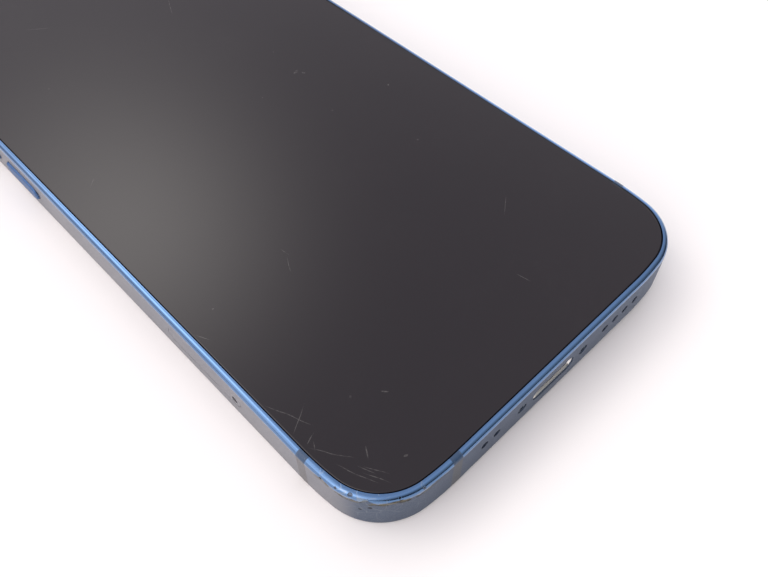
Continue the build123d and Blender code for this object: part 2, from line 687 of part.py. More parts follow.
def side_key(y, length, side):
    """A key cap with the flange that keeps it in the rail; side is -1 on the left, 1 on the right."""
    outer = RIGHT + BUTTON_PROUD
    inner_wall = RIGHT - RAIL_WALL
    flange_out = inner_wall - 0.05
    cap = side_slot(y, MID_Z, length, BUTTON_HEIGHT, (flange_out - 0.1, outer))
    rim = cap.edges().filter_by_position(Axis.X, outer - 0.001, outer + 0.001)
    cap = fillet(rim, 0.3)
    flange = side_slot(y, MID_Z, length + 2 * BUTTON_FLANGE, BUTTON_HEIGHT + BUTTON_FLANGE,
                       (flange_out - 0.5, flange_out))
    key = cap + flange
    return key if side > 0 else mirror(key, about=Plane.YZ)


def ring_switch():
    """Silent-mode slider in its recess, shown in the ring position."""
    z = MID_Z + SWITCH_TRAVEL / 2
    length = SWITCH_SLOT_LENGTH - 2 * SLIDE_GAP
    outer = LEFT - SWITCH_PROUD
    flange_out = LEFT + RAIL_WALL + 0.05
    lever = block((outer, flange_out + 0.1), (SWITCH_Y - length / 2 + 0.7, SWITCH_Y + length / 2 - 0.7),
                  (z - SWITCH_HEIGHT / 2, z + SWITCH_HEIGHT / 2))
    lever = fillet(lever.edges().filter_by(Axis.X), 0.4)
    flange = block((flange_out, flange_out + 0.4), (SWITCH_Y - 3.6, SWITCH_Y + 3.6), (z - 1.7, z + 1.7))
    return lever + flange


def key_flex(x_face, inward, keys, y_span):
    """Ribbon along a row of keys with a dome contact behind each; inward is the way into the phone."""
    strip_x = (x_face + inward * 0.28, x_face + inward * 0.45)
    flex = block((min(strip_x), max(strip_x)), y_span, (MID_Z - 1.7, MID_Z + 1.7))
    for y in keys:
        dome = rod_along_x(y, MID_Z, 1.2, (min(x_face, strip_x[0]), max(x_face, strip_x[0])))
        flex += dome
    return flex


# ---------------------------------------------------------------- SIM tray and its ejector

TRAY_BACK = LEFT + DOOR_DEPTH + SIM_LENGTH + 2 * TRAY_RIM
TRAY_Z = (MID_Z - TRAY_THICKNESS / 2, MID_Z + TRAY_THICKNESS / 2)
SIM_X = (LEFT + DOOR_DEPTH + TRAY_RIM, LEFT + DOOR_DEPTH + TRAY_RIM + SIM_LENGTH)
SIM_Y_MIDDLE = (TRAY_LOW_Y + TRAY_HIGH_Y) / 2
SIM_Y = (SIM_Y_MIDDLE - SIM_WIDTH / 2, SIM_Y_MIDDLE + SIM_WIDTH / 2)
ROD_HALF = 0.4
ROD_TIP_X = LEVER_PIVOT[0] - LEVER_WIDTH / 2 - 0.05


def sim_tray():
    """Door flush with the rail and the tray plate with a stepped pocket for the card."""
    door = side_slot(DOOR_Y, MID_Z, DOOR_LENGTH, DOOR_HEIGHT, (LEFT, LEFT + DOOR_DEPTH))
    rim = door.edges().filter_by_position(Axis.X, LEFT - 0.001, LEFT + 0.001)
    door = fillet(rim, 0.08)
    door -= rod_along_x(EJECT_Y, MID_Z, EJECT_HOLE_RADIUS, (LEFT - 1, LEFT + DOOR_DEPTH + 1))
    plate = block((LEFT + DOOR_DEPTH, TRAY_BACK), (TRAY_LOW_Y, TRAY_HIGH_Y), TRAY_Z)
    plate = fillet(plate.edges().filter_by(Axis.Z).sort_by(Axis.X)[-2:], 1.0)
    clear_x = (SIM_X[0] - FIT_GAP, SIM_X[1] + FIT_GAP)
    clear_y = (SIM_Y[0] - FIT_GAP, SIM_Y[1] + FIT_GAP)
    plate -= block(clear_x, clear_y, (TRAY_Z[1] - SIM_THICKNESS - FIT_GAP, TRAY_Z[1] + 1))
    window_x = (SIM_X[0] + 0.8, SIM_X[1] - 0.8)
    window_y = (SIM_Y[0] + 0.8, SIM_Y[1] - 0.8)
    plate -= block(window_x, window_y, (TRAY_Z[0] - 1, TRAY_Z[1] + 1))
    return door + plate


def nano_sim_card():
    """Card with one cut corner."""
    low = TRAY_Z[1] - SIM_THICKNESS
    card = block(SIM_X, SIM_Y, (low, TRAY_Z[1]))
    corner = card.edges().filter_by(Axis.Z).sort_by(Axis.X)[-1]
    return chamfer(corner, 1.6)


def sim_reader():
    """Folded steel cage round the tray, with the ejector's channel and pivot pin."""
    wall = 0.2
    cage_x = (LEFT + RAIL_WALL + 0.2, TRAY_BACK + 0.1)
    channel_y = EJECT_Y - ROD_HALF - 0.15
    tray_y = (TRAY_LOW_Y - 0.2, TRAY_HIGH_Y + 0.2)
    cage_y = (channel_y - wall, tray_y[1] + wall)
    cage_z = (BOARD_Z[1] + 0.02, TRAY_Z[1] + 0.45)
    cage = block(cage_x, cage_y, cage_z)
    inner_z = (cage_z[0] + wall, cage_z[1] - wall)
    long_x = (cage_x[0] - 1, cage_x[1] + 1)
    cage -= block(long_x, tray_y, inner_z)
    cage -= block(long_x, (channel_y, EJECT_Y + ROD_HALF + 0.15), inner_z)
    base_x = (cage_x[1], LEVER_PIVOT[0] + 1.6)
    cage += block(base_x, cage_y, (cage_z[0], cage_z[0] + wall))
    pin_x, pin_y = LEVER_PIVOT
    return cage + disc(pin_x, pin_y, LEVER_PIN_RADIUS, (cage_z[0], TRAY_Z[1] + 0.2))


def sim_eject_rod():
    """Push rod behind the eject hole, with a rounded tip at the lever."""
    rod = block((LEFT + DOOR_DEPTH + 0.15, ROD_TIP_X - ROD_HALF),
                (EJECT_Y - ROD_HALF, EJECT_Y + ROD_HALF), (MID_Z - ROD_HALF, MID_Z + ROD_HALF))
    tip = disc(ROD_TIP_X - ROD_HALF, EJECT_Y, ROD_HALF, (MID_Z - ROD_HALF, MID_Z + ROD_HALF))
    return rod + tip


def sim_eject_lever():
    """Rocking lever on the reader's pin."""
    pin_x, pin_y = LEVER_PIVOT
    half = LEVER_WIDTH / 2
    z_span = (TRAY_Z[0], TRAY_Z[1])
    lever = block((pin_x - half, pin_x + half), (pin_y - LEVER_REACH, pin_y + LEVER_REACH), z_span)
    lever = fillet(lever.edges().filter_by(Axis.Z), 0.3)
    lever += disc(pin_x, pin_y, LEVER_PIN_RADIUS + 0.6, z_span)
    return lever - disc(pin_x, pin_y, LEVER_PIN_RADIUS + 0.05, (z_span[0] - 1, z_span[1] + 1))


# ---------------------------------------------------------------- bottom screws

def bottom_screws():
    """Two cover screws with five-lobed sockets."""
    screws = []
    face = BOTTOM + SCREW_RECESS
    lobes = 5
    lobe_reach = 0.32
    for x in (-SCREW_X, SCREW_X):
        head = rod_along_y(x, MID_Z, SCREW_HEAD_RADIUS, (face, face + SCREW_HEAD_HEIGHT))
        rim = head.edges().filter_by_position(Axis.Y, face - 0.001, face + 0.001)
        head = chamfer(rim, 0.1)
        shank = rod_along_y(x, MID_Z, SCREW_SHANK_RADIUS, (face + SCREW_HEAD_HEIGHT, face + SCREW_LENGTH))
        screw = head + shank
        screw -= rod_along_y(x, MID_Z, lobe_reach, (face - 1, face + 0.35))
        for lobe in range(lobes):
            angle = radians(90 + lobe * 360 / lobes)
            lobe_x = x + lobe_reach * cos(angle)
            lobe_z = MID_Z + lobe_reach * sin(angle)
            screw -= rod_along_y(lobe_x, lobe_z, 0.14, (face - 1, face + 0.35))
        screws.append(screw)
    return screws


# ---------------------------------------------------------------- all pieces

def all_pieces():
    """Every node's name with its solid, or with its list of separate identical solids."""
    pieces = rail_pieces()
    pieces.update(display_pieces())
    pieces.update(camera_pieces())
    pieces["cover_glass"] = cover_glass()
    pieces["rear_glass"] = rear_glass()
    pieces["chassis_plate"] = chassis_plate()
    pieces["camera_trim_rings"] = [camera_trim_ring(y) for y in (MAIN_LENS_Y, WIDE_LENS_Y)]
    pieces["camera_cover_lenses"] = [camera_cover_lens(y) for y in (MAIN_LENS_Y, WIDE_LENS_Y)]
    pieces["flash_window"] = flash_window()
    pieces["flash_led"] = flash_led()
    pieces["battery"] = battery()
    pieces["main_logic_board"] = main_logic_board()
    pieces["board_screws"] = board_screws()
    can_z = (BOARD_Z[1] + 0.02, 4.4)
    pieces["processor_shield"] = shield_can((-27.4, -9.8), (-20.0, 8.4), can_z)
    pieces["radio_shield"] = shield_can((-27.4, -9.8), (12.0, 29.0), can_z)
    pieces["charging_coil"] = charging_coil()
    pieces["alignment_magnets"] = alignment_magnets()
    pieces["charging_port_shell"] = charging_port_shell()
    pieces["charging_port_contacts"] = charging_port_contacts()
    pieces["charging_port_housing"] = charging_port_housing()
    pieces["charging_flex"] = charging_flex()
    pieces["loudspeaker_enclosure"] = loudspeaker_enclosure()
    pieces["loudspeaker_magnet"] = loudspeaker_magnet()
    pieces["loudspeaker_diaphragm"] = loudspeaker_diaphragm()
    pieces["haptic_motor_case"] = haptic_motor_case()
    pieces["haptic_motor_mass"] = haptic_motor_mass()
    pieces["haptic_motor_springs"] = haptic_motor_springs()
    pieces["bottom_microphone"] = bottom_microphone()
    pieces["acoustic_meshes"] = acoustic_meshes()
    pieces["earpiece_mesh"] = earpiece_mesh()
    pieces["earpiece_speaker"] = earpiece_speaker()
    pieces["front_camera"] = front_camera()
    pieces["volume_up_button"] = side_key(VOLUME_UP_Y, BUTTON_LENGTH, -1)
    pieces["volume_down_button"] = side_key(VOLUME_DOWN_Y, BUTTON_LENGTH, -1)
    pieces["side_button"] = side_key(SIDE_BUTTON_Y, SIDE_BUTTON_LENGTH, 1)
    pieces["ring_switch"] = ring_switch()
    pieces["volume_button_flex"] = key_flex(
        LEFT + KEY_BACK + DOME_GAP, 1, (VOLUME_DOWN_Y, VOLUME_UP_Y), (VOLUME_DOWN_Y - 6, VOLUME_UP_Y + 6))
    pieces["side_button_flex"] = key_flex(
        RIGHT - KEY_BACK - DOME_GAP, -1, (SIDE_BUTTON_Y,), (SIDE_BUTTON_Y - 8, SIDE_BUTTON_Y + 8))
    pieces["sim_tray"] = sim_tray()
    pieces["nano_sim_card"] = nano_sim_card()
    pieces["sim_reader"] = sim_reader()
    pieces["sim_eject_rod"] = sim_eject_rod()
    pieces["sim_eject_lever"] = sim_eject_lever()
    pieces["bottom_screws"] = bottom_screws()
    return pieces


os.makedirs("parts", exist_ok=True)
for node, solid in all_pieces().items():
    if isinstance(solid, list):
        solid = Compound(children=solid)
    export_step(solid, f"parts/{node}.step")
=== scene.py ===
"""A smartphone with a blue anodised rail, black front glass and a worn lower left corner.

Metres, in the same frame as the CAD: +X to the phone's right, +Y towards the earpiece, +Z out of the screen.
"""
import json
import math
import bpy
from mathutils import Matrix, Vector


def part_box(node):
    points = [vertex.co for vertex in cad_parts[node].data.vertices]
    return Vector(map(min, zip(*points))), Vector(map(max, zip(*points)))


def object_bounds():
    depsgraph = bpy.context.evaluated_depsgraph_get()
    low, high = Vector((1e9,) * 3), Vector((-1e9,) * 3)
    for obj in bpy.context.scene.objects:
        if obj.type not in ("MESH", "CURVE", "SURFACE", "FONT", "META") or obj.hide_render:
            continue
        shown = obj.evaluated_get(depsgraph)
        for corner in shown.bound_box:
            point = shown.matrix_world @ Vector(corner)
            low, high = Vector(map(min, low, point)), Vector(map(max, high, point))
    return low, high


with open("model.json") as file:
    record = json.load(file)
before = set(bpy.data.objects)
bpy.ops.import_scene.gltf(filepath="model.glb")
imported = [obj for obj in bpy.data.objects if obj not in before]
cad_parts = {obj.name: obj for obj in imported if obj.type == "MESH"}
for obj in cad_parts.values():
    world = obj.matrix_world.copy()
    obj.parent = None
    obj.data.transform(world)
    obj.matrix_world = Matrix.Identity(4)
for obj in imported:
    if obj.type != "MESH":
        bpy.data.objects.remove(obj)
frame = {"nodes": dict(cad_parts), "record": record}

cad_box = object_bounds()
bpy.ops.object.select_all(action="DESELECT")
scene = bpy.context.scene
scene.view_settings.view_transform = "Standard"

MM = 0.001


# ---------------------------------------------------------------- sizes that the materials follow
RAIL_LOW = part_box("rail_left")[0]
PHONE_LOW = cad_box[0]
FRONT_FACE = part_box("cover_glass")[1].z
POLISHED_EDGE = 0.76 * MM                            # height of the polished band below the front face
WORN_CORNER = Vector((RAIL_LOW.x + 2.6 * MM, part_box("rail_lower_left_corner")[0].y + 3.2 * MM, FRONT_FACE))
WORN_REACH = 11 * MM                                 # how far from that corner the wear spreads


# ---------------------------------------------------------------- helpers
def linear(code):
    """The linear colour of an sRGB hex code."""
    parts = [int(code[i:i + 2], 16) / 255 for i in (1, 3, 5)]
    return tuple(c / 12.92 if c <= 0.04045 else ((c + 0.055) / 1.055) ** 2.4 for c in parts) + (1.0,)


def add(tree, kind, *inputs, result=0, **settings):
    """Adds a node with its settings, fills its open inputs in order and returns one of its results.

    An input that is another node's result is linked, and None leaves an input as it is.
    """
    made = tree.nodes.new("ShaderNode" + kind)
    for name, value in settings.items():
        setattr(made, name, value)
    for socket, value in zip([s for s in made.inputs if s.enabled], inputs):
        if isinstance(value, bpy.types.NodeSocket):
            tree.links.new(value, socket)
        elif value is not None:
            socket.default_value = value
    results = [s for s in made.outputs if s.enabled]
    return results[result] if results else None


def start_material(name, **sockets):
    """A material with one shader. Returns it, its node tree, the shader and the place on the object."""
    made = bpy.data.materials.new(name)
    made.use_nodes = True
    tree = made.node_tree
    tree.nodes.clear()
    shader = tree.nodes.new("ShaderNodeBsdfPrincipled")
    for key, value in sockets.items():
        shader.inputs[key.replace("_", " ")].default_value = value
    add(tree, "OutputMaterial", shader.outputs[0])
    place = add(tree, "TexCoord", result=3)          # Object coordinates
    return made, tree, shader, place


def put(tree, shader, **sockets):
    """Links worked-out values to the shader's sockets."""
    for name, value in sockets.items():
        tree.links.new(value, shader.inputs[name.replace("_", " ")])


def hairlines(tree, place, cell, width, share):
    """Thin random scratches: the borders of cells about cell metres wide, cut short by a slow mottle."""
    bent = add(tree, "TexNoise", place, 0.6 / cell, 1.0, result=1)
    shifted = add(tree, "VectorMath", bent, (cell, cell, cell), place, operation="MULTIPLY_ADD")
    border = add(tree, "TexVoronoi", shifted, 1 / cell, feature="DISTANCE_TO_EDGE")
    line = add(tree, "MapRange", border, 0.0, width / cell, 1.0, 0.0)
    cut = add(tree, "MapRange", add(tree, "TexNoise", place, 1 / (0.8 * cell), 1.0), 0.62 - 0.3 * share,
              0.70 - 0.3 * share)
    return add(tree, "Math", line, cut, operation="MULTIPLY")


def specks(tree, place, cell, size, share):
    """Random dots about size metres across, one in some of the cells."""
    near = add(tree, "TexVoronoi", place, 1 / cell)
    dot = add(tree, "MapRange", near, 0.35 * size / cell, 0.55 * size / cell, 1.0, 0.0)
    chance = add(tree, "SeparateColor", add(tree, "TexVoronoi", place, 1 / cell, result=1))
    chosen = add(tree, "MapRange", chance, 1 - share, 1.001 - share)
    return add(tree, "Math", dot, chosen, operation="MULTIPLY")


def single_marks(tree, place, marks):
    """Single scratches, each a long thin ellipse. A mark is (x, y, length, degrees, width) in mm, on XY."""
    slow = add(tree, "TexNoise", place, 1 / (4 * MM), 1.0, result=1)
    waver = 0.7 * MM
    bent = add(tree, "VectorMath", slow, (waver, waver, 0), place, operation="MULTIPLY_ADD")
    nearest = 2.0
    for x, y, length, degrees, width in marks:
        centre = (x * MM + waver / 2, y * MM + waver / 2, 0)
        turn = (0, 0, math.radians(degrees))
        half_size = (length / 2 * MM, width / 2 * MM, 1.0)
        local = add(tree, "Mapping", bent, centre, turn, half_size, vector_type="TEXTURE")
        away = add(tree, "VectorMath", local, operation="LENGTH")
        nearest = add(tree, "Math", away, nearest, operation="MINIMUM")
    return add(tree, "MapRange", nearest, 0.55, 1.05, 1.0, 0.0)


# ---------------------------------------------------------------- materials of the outside
# nicks in the rail where it was dropped on its corner: x, y, z, radius
CORNER_NICKS = (
    (-30.83, -59.84, 7.16, 0.34),
    (-30.46, -61.01, 4.20, 0.26),
    (-29.76, -62.01, 5.15, 0.34),
    (-31.50, -57.98, 7.08, 0.22),
    (-31.89, -55.76, 6.84, 0.20),
    (-26.94, -64.12, 7.16, 0.20),
    (-23.97, -65.26, 7.01, 0.24),
)


def anodised_aluminium():
    """Anodised aluminium, bead-blasted on the sides and diamond-cut along the front edge.

    The blasting gives an even, matte, slightly sparkling grey-blue. The cut edge is glossy and a clearer
    blue, with a sharp border between them. The left side is painted paler and greyer as painted light,
    standing in for the brighter light that falls on it, and the keys are a deeper blue. At the worn corner
    the border wanders and the dye is rubbed off.
    """
    made, tree, shader, place = start_material("anodised_aluminium_blue", Metallic=1.0, Roughness=0.4,
                                               Coat_Roughness=0.12, Coat_IOR=1.65)
    height = add(tree, "SeparateXYZ", place, result=2)
    away = add(tree, "VectorMath", place, WORN_CORNER, operation="DISTANCE")
    worn = add(tree, "MapRange", away, 0.35 * WORN_REACH, WORN_REACH, 1.0, 0.0,
               interpolation_type="SMOOTHSTEP")
    wander = add(tree, "MapRange", add(tree, "TexNoise", place, 1 / (3.2 * MM), 3.0, None, None, 0.6), 0.30,
                 0.70, -0.50 * MM, 0.50 * MM)
    wandering = add(tree, "Math", wander, worn, height, operation="MULTIPLY_ADD")
    border = FRONT_FACE - POLISHED_EDGE
    polished = add(tree, "MapRange", wandering, border - 0.03 * MM, border + 0.03 * MM)
    across = add(tree, "SeparateXYZ", place)
    outward = add(tree, "Math", across, operation="ABSOLUTE")
    key_faces = add(tree, "MapRange", outward, -RAIL_LOW.x + 0.03 * MM, -RAIL_LOW.x + 0.07 * MM)

    # beads of 0.1 mm, drawn a little coarser to show
    grain = add(tree, "TexNoise", place, 1 / (0.16 * MM), 3.0)
    cloud = add(tree, "TexNoise", place, 1 / (14 * MM), 2.0)
    blasted = add(tree, "Mix", add(tree, "MapRange", cloud, 0.35, 0.65), linear("#41506a"), linear("#495871"),
                  data_type="RGBA")
    # painted light: the left side is painted paler and greyer for the brighter light on it, blending away
    # round the corners
    painted_light_side_colour = add(tree, "Mix", add(tree, "MapRange", cloud, 0.35, 0.65), linear("#8f8f96"), linear("#97969b"),
                  data_type="RGBA")
    painted_light_side = add(tree, "MapRange", across, RAIL_LOW.x + 0.03 * MM, RAIL_LOW.x + 1.7 * MM, 1.0, 0.0,
                    interpolation_type="SMOOTHSTEP")
    blasted = add(tree, "Mix", painted_light_side, blasted, painted_light_side_colour, data_type="RGBA")
    blasted = add(tree, "Mix", key_faces, blasted, linear("#2a5f9c"), data_type="RGBA")
    blasted = add(tree, "Mix", add(tree, "MapRange", grain, 0.3, 0.7, 0.0, 0.5), blasted, linear("#8c959e"),
                  data_type="RGBA")
    cut = add(tree, "Mix", add(tree, "MapRange", cloud, 0.35, 0.65), linear("#4c74a2"), linear("#557dab"),
              data_type="RGBA")
    colour = add(tree, "Mix", polished, blasted, cut, data_type="RGBA")

    # rubbed places: a band just under the wandering border, brownish grey with thin bright and dark lines
    below = add(tree, "Math", border, wandering, operation="SUBTRACT")
    band = add(tree, "Math", add(tree, "MapRange", below, 0.0, 0.05 * MM),
               add(tree, "MapRange", below, 0.55 * MM, 0.75 * MM, 1.0, 0.0), operation="MULTIPLY")
    patchy = add(tree, "MapRange", add(tree, "TexNoise", place, 1 / (1.3 * MM), 3.0), 0.42, 0.52)
    rubbed = add(tree, "Math", add(tree, "Math", band, patchy, operation="MULTIPLY"), worn,
                 operation="MULTIPLY")
    stretched = add(tree, "Mapping", place, None, None, (0.35, 0.35, 4.0))
    lines = add(tree, "MapRange", add(tree, "TexNoise", stretched, 1 / (0.9 * MM), 2.0, None, None, 1.0),
                0.40, 0.60)
    oxide = add(tree, "Mix", lines, linear("#2e2f33"), linear("#8f8a7a"), data_type="RGBA")
    colour = add(tree, "Mix", rubbed, colour, oxide, data_type="RGBA")

    # handling marks: fine scuffs all over, thicker near the worn corner, and a few dark pits
    scuffs = hairlines(tree, place, 5.5 * MM, 0.05 * MM, 0.25)
    corner_scuffs = add(tree, "Math", hairlines(tree, place, 2.2 * MM, 0.07 * MM, 0.7), worn,
                        operation="MULTIPLY")
    marks = add(tree, "Math", add(tree, "Math", scuffs, 0.25, operation="MULTIPLY"), corner_scuffs,
                operation="MAXIMUM")
    colour = add(tree, "Mix", add(tree, "Math", marks, 0.45, operation="MULTIPLY"), colour, linear("#9aa3a6"),
                 data_type="RGBA")
    pits = add(tree, "Math", specks(tree, place, 3.1 * MM, 0.55 * MM, 0.38),
               add(tree, "MapRange", worn, 0.15, 0.5), operation="MULTIPLY")
    small_pits = specks(tree, place, 7.0 * MM, 0.20 * MM, 0.22)
    pits = add(tree, "Math", pits, small_pits, operation="MAXIMUM")
    for x, y, z, radius in CORNER_NICKS:
        centred = add(tree, "VectorMath", place, (x * MM, y * MM, z * MM), operation="SUBTRACT")
        ragged = add(tree, "VectorMath", add(tree, "TexNoise", place, 1 / (0.5 * MM), 2.0, result=1),
                     (0.5 * radius * MM,) * 3, centred, operation="MULTIPLY_ADD")
        away = add(tree, "VectorMath", ragged, (0.25 * radius * MM,) * 3, operation="DISTANCE")
        pits = add(tree, "Math", pits, add(tree, "MapRange", away, 0.7 * radius * MM, radius * MM, 1.0, 0.0),
                   operation="MAXIMUM")
    colour = add(tree, "Mix", add(tree, "Math", pits, 0.8, operation="MULTIPLY"), colour, linear("#1c2027"),
                 data_type="RGBA")

    # painted shade and dust: the walls of the openings in the bottom edge are painted dark for the shade
    # where they get no light and for the dust they hold
    inward = add(tree, "SeparateXYZ", place, result=1)
    from_middle = add(tree, "Math", add(tree, "Math", height, FRONT_FACE / 2, operation="SUBTRACT"),
                      operation="ABSOLUTE")
    opening_shade_and_dust = add(tree, "MapRange", inward, PHONE_LOW.y + 0.12 * MM, PHONE_LOW.y + 0.4 * MM)
    opening_shade_and_dust = add(tree, "Math", opening_shade_and_dust, add(tree, "MapRange", outward, 4.6 * MM, 4.8 * MM), operation="MULTIPLY")
    for distance, end in ((inward, PHONE_LOW.y + 1.75 * MM), (outward, 19.5 * MM), (from_middle, 1.5 * MM)):
        opening_shade_and_dust = add(tree, "Math", opening_shade_and_dust, add(tree, "MapRange", distance, end, end + 0.1 * MM, 1.0, 0.0),
                    operation="MULTIPLY")
    colour = add(tree, "Mix", add(tree, "Math", opening_shade_and_dust, 0.85, operation="MULTIPLY"), colour, linear("#15171c"),
                 data_type="RGBA")

    rough = add(tree, "Mix", polished, add(tree, "MapRange", grain, 0.3, 0.7, 0.46, 0.56),
                add(tree, "MapRange", cloud, 0.3, 0.7, 0.13, 0.18))
    rough = add(tree, "Math", add(tree, "Math", rough, add(tree, "Math", rubbed, 0.2, operation="MULTIPLY")),
                add(tree, "Math", marks, 0.08, operation="MULTIPLY"))
    put(tree, shader, Base_Color=colour, Roughness=rough,
        Coat_Weight=add(tree, "Math", polished, 0.7, operation="MULTIPLY"))
    relief = add(tree, "Math", grain, add(tree, "Math", 1.0, polished, operation="SUBTRACT"),
                 operation="MULTIPLY")
    relief = add(tree, "Math", relief, add(tree, "Math", pits, -8.0, operation="MULTIPLY"))
    relief = add(tree, "Math", relief, add(tree, "Math", marks, -1.5, operation="MULTIPLY"))
    relief = add(tree, "Math", relief, add(tree, "Math", rubbed, -2.0, operation="MULTIPLY"))
    put(tree, shader, Normal=add(tree, "Bump", None, 0.006 * MM, None, relief))
    return made


def band_plastic():
    """Glass-filled nylon moulded between the rail's lengths and machined flush: dull, darker and mottled.

    It is bluer where it crosses the cut edge and painted paler on the left side as painted light, as the rail
    is.
    """
    made, tree, shader, place = start_material("moulded_nylon_band", Roughness=0.3, IOR=1.52)
    fibres = add(tree, "TexNoise", place, 1 / (0.25 * MM), 3.0)
    slow = add(tree, "TexNoise", place, 1 / (2.5 * MM), 2.0)
    edge = add(tree, "Mix", add(tree, "MapRange", slow, 0.35, 0.65), linear("#2c4766"), linear("#345070"),
               data_type="RGBA")
    across = add(tree, "SeparateXYZ", place)
    # painted light: the left side is painted paler for the brighter light it gets there
    painted_light_side = add(tree, "MapRange", across, RAIL_LOW.x + 0.1 * MM, RAIL_LOW.x + 2.4 * MM, 1.0, 0.0)
    side = add(tree, "Mix", painted_light_side, linear("#2b3340"), linear("#525156"), data_type="RGBA")
    height = add(tree, "SeparateXYZ", place, result=2)
    border = FRONT_FACE - POLISHED_EDGE
    on_edge = add(tree, "MapRange", height, border - 0.05 * MM, border + 0.05 * MM)
    colour = add(tree, "Mix", on_edge, side, edge, data_type="RGBA")
    colour = add(tree, "Mix", add(tree, "MapRange", fibres, 0.58, 0.72, 0.0, 0.5), colour, linear("#74808c"),
                 data_type="RGBA")
    put(tree, shader, Base_Color=colour, Roughness=add(tree, "MapRange", fibres, 0.3, 0.7, 0.32, 0.44))
    put(tree, shader, Normal=add(tree, "Bump", None, 0.008 * MM, None, fibres))
    return made


# marks that can be told apart on the front glass: x, y, length, degrees, width
GLASS_SCRATCHES = (
    (-30.2, -30.7, 2.8, -67, 0.13),
    (-29.4, -47.1, 7.2, -69, 0.13),
    (-28.8, -48.3, 4.6, 31, 0.13),
    (-29.6, -51.4, 2.0, 20, 0.14),
    (-29.2, -54.3, 5.2, -57, 0.11),
    (-28.6, -58.6, 6.0, -68, 0.13),
    (-27.2, -60.6, 4.0, -66, 0.12),
    (-25.9, -57.4, 1.8, 60, 0.20),
    (-13.4, -27.0, 1.8, -80, 0.10),
    (-14.4, -29.2, 3.2, -118, 0.10),
    (15.9, -43.1, 4.0, -139, 0.10),
    (7.4, -53.6, 2.8, -75, 0.10),
    (-25.8, 3.8, 2.4, 40, 0.10),
    (9.0, 33.0, 7.0, 64, 0.10),
    (-12.0, 44.0, 5.0, -38, 0.10),
    (-28.3, -55.6, 3.0, -52, 0.11),
    (-27.4, -58.9, 2.6, -70, 0.11),
    (-26.6, -59.8, 3.4, -62, 0.11),
    (-29.9, -52.6, 1.6, 55, 0.12),
)
GLASS_FLECKS = (
    (13.5, 2.0, 1.3, 20, 0.60),
    (14.3, 1.0, 0.7, -60, 0.35),
    (11.5, -9.6, 0.5, 0, 0.35),
    (22.4, -11.5, 0.5, 40, 0.35),
    (16.5, -24.4, 0.5, 10, 0.35),
    (-22.3, -50.6, 0.5, 30, 0.34),
    (-22.9, -61.0, 0.6, -20, 0.34),
    (-18.6, -53.0, 1.1, -50, 0.22),
    (-26.5, -27.8, 0.4, 0, 0.32),
)


def front_glass():
    """Ion-strengthened aluminosilicate glass over a switched-off black screen.

    Mirror-smooth, so it shows the room's soft light, with fine scratches, dust and a faint film of finger
    marks that scatter a little of it.
    """
    made, tree, shader, place = start_material("strengthened_glass_black", Roughness=0.04, IOR=1.5)
    scratches = single_marks(tree, place, GLASS_SCRATCHES + GLASS_FLECKS)
    skips = add(tree, "MapRange", add(tree, "TexNoise", place, 1 / (0.55 * MM), 2.0), 0.40, 0.58, 0.25, 1.0)
    scratches = add(tree, "Math", scratches, skips, operation="MULTIPLY")
    film = add(tree, "TexNoise", place, 1 / (19 * MM), 3.0, None, None, 0.8)
    prints = add(tree, "TexNoise", place, 1 / (1.4 * MM), 2.0, None, None, 1.5)
    smear = add(tree, "Math", add(tree, "MapRange", film, 0.48, 0.70),
                add(tree, "MapRange", prints, 0.35, 0.65), operation="MULTIPLY")
    dust = specks(tree, place, 8.5 * MM, 0.22 * MM, 0.45)
    marks = add(tree, "Math", add(tree, "Math", scratches, 0.42, operation="MULTIPLY"),
                add(tree, "Math", dust, 0.3, operation="MULTIPLY"), operation="MAXIMUM")
    grey = add(tree, "Mix", add(tree, "Math", smear, 0.25, operation="MULTIPLY"), linear("#110a12"),
               linear("#1c171c"), data_type="RGBA")
    colour = add(tree, "Mix", add(tree, "Math", marks, 0.6, operation="MULTIPLY"), grey, linear("#8b8988"),
                 data_type="RGBA")
    rough = add(tree, "Math", add(tree, "MapRange", film, 0.3, 0.7, 0.03, 0.06),
                add(tree, "Math", smear, 0.05, operation="MULTIPLY"))
    rough = add(tree, "Math", rough, add(tree, "Math", marks, 0.35, operation="MULTIPLY"))
    put(tree, shader, Base_Color=colour, Roughness=rough)
    put(tree, shader, Normal=add(tree, "Bump", 0.4, 0.002 * MM, None, smear))
    return made


def rear_glass():
    """Glass with a blue printed film behind it: deep gloss, even colour, hairline marks and dust from use."""
    made, tree, shader, place = start_material("strengthened_glass_blue_backed", Roughness=0.06, IOR=1.52,
                                               Coat_Weight=0.4, Coat_Roughness=0.03)
    depth = add(tree, "TexNoise", place, 1 / (40 * MM), 1.0)
    film = add(tree, "TexNoise", place, 1 / (15 * MM), 3.0, None, None, 1.2)
    # pearl flakes of 0.05 mm, drawn coarser to show
    pigment = add(tree, "TexNoise", place, 1 / (0.14 * MM), 2.0)
    colour = add(tree, "Mix", add(tree, "MapRange", depth, 0.35, 0.65), linear("#1d4164"), linear("#234a70"),
                 data_type="RGBA")
    colour = add(tree, "Mix", add(tree, "MapRange", pigment, 0.55, 0.75, 0.0, 0.25), colour,
                 linear("#3f6a92"), data_type="RGBA")
    scratches = add(tree, "Math", hairlines(tree, place, 15 * MM, 0.06 * MM, 0.3), 0.5, operation="MULTIPLY")
    dust = add(tree, "Math", specks(tree, place, 7 * MM, 0.22 * MM, 0.35), 0.7, operation="MULTIPLY")
    marks = add(tree, "Math", scratches, dust, operation="MAXIMUM")
    colour = add(tree, "Mix", add(tree, "Math", marks, 0.5, operation="MULTIPLY"), colour, linear("#9fb0bf"),
                 data_type="RGBA")
    rough = add(tree, "Math", add(tree, "MapRange", film, 0.4, 0.7, 0.05, 0.13),
                add(tree, "Math", marks, 0.3, operation="MULTIPLY"))
    put(tree, shader, Base_Color=colour, Roughness=rough)
    grooves = add(tree, "Math", marks, -1.0, operation="MULTIPLY")
    put(tree, shader, Normal=add(tree, "Bump", None, 0.004 * MM, None, grooves))
    return made


